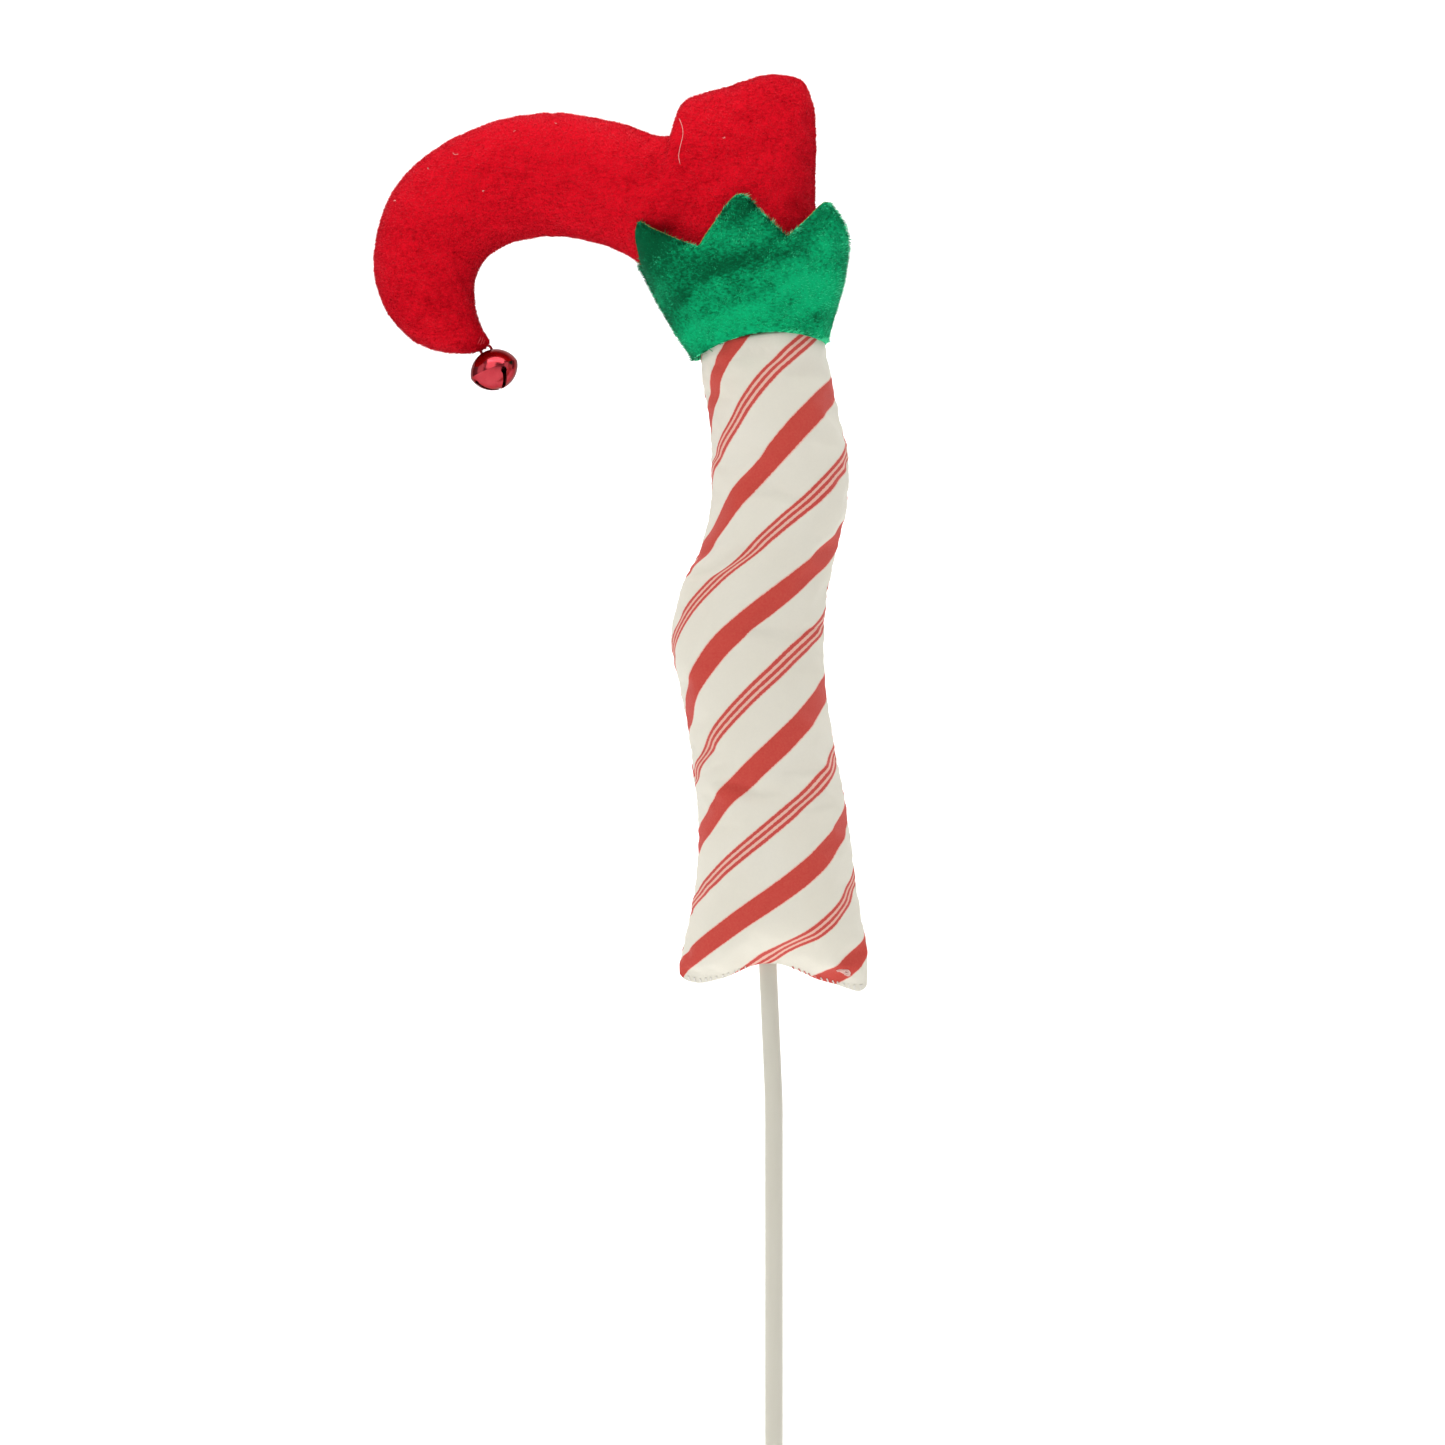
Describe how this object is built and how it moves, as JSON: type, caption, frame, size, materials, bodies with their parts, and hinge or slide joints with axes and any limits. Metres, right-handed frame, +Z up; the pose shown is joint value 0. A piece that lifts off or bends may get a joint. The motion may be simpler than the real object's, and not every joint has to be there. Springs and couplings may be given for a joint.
{
  "type": "stuffed elf leg pick",
  "caption": "Upside-down stuffed elf leg with a curled-toe shoe, pointed plush cuff and striped stocking, on a straight stem, with a jingle bell tied to the toe.",
  "frame": {"origin": "centre of the stem's cut lower end", "axes": "+Z up the stem's straight lower stretch, the toe points to -X, the front that faces the viewer is -Y"},
  "size_m": [0.1376, 0.0434, 0.4569],
  "materials": {
    "wire": "drawn wire",
    "stem_plastic": "satin ivory plastic sleeve",
    "glue": "hot-melt glue",
    "leg_cotton": "cream plain weave with printed red stripes",
    "cream_thread": "sewing thread",
    "fibre_fill": "loose polyester fibre",
    "red_thread": "sewing thread",
    "velvet": "short-pile velvet",
    "plush": "short plush pile",
    "green_thread": "sewing thread",
    "shank_metal": "red lacquered wire",
    "bell_lacquer": "bright red lacquer over plated steel",
    "pellet_steel": "plain steel ball"
  },
  "bodies": {
    "root": {"stem_core": "wire", "stem_sleeve": "stem_plastic", "stem_glue": "glue", "leg_front_panel": "leg_cotton", "leg_back_panel": "leg_cotton", "leg_seam_threads": "cream_thread", "leg_stuffing": "fibre_fill", "hem_stitches": "red_thread", "shoe_front_panel": "velvet", "shoe_back_panel": "velvet", "shoe_seam_threads": "red_thread", "shoe_stuffing": "fibre_fill", "ankle_seam_thread": "cream_thread", "cuff_front_face": "plush", "cuff_front_lining": "plush", "cuff_back_face": "plush", "cuff_back_lining": "plush", "cuff_seam_threads": "green_thread", "cuff_stitches": "green_thread"},
    "tie": {"bell_tie": "red_thread"},
    "bell": {"bell_shank": "shank_metal", "bell_top_shell": "bell_lacquer", "bell_bottom_shell": "bell_lacquer"},
    "pellet": {"bell_pellet": "pellet_steel"}
  },
  "joints": [
    {"name": "tie_swing", "type": "hinge", "parent": "root", "child": "tie", "pos_m": [-0.0801, 0, 0.3837], "axis": [0, -1, 0], "range_deg": [0, 70]},
    {"name": "bell_swing", "type": "hinge", "parent": "tie", "child": "bell", "pos_m": [-0.08043, 0, 0.38214], "axis": [0.9781, 0, -0.2079], "range_deg": [-40, 40]},
    {"name": "pellet_roll", "type": "hinge", "parent": "bell", "child": "pellet", "pos_m": [-0.07865, 0, 0.37534], "axis": [0, 1, 0], "range_deg": [-50, 50]}
  ]
}
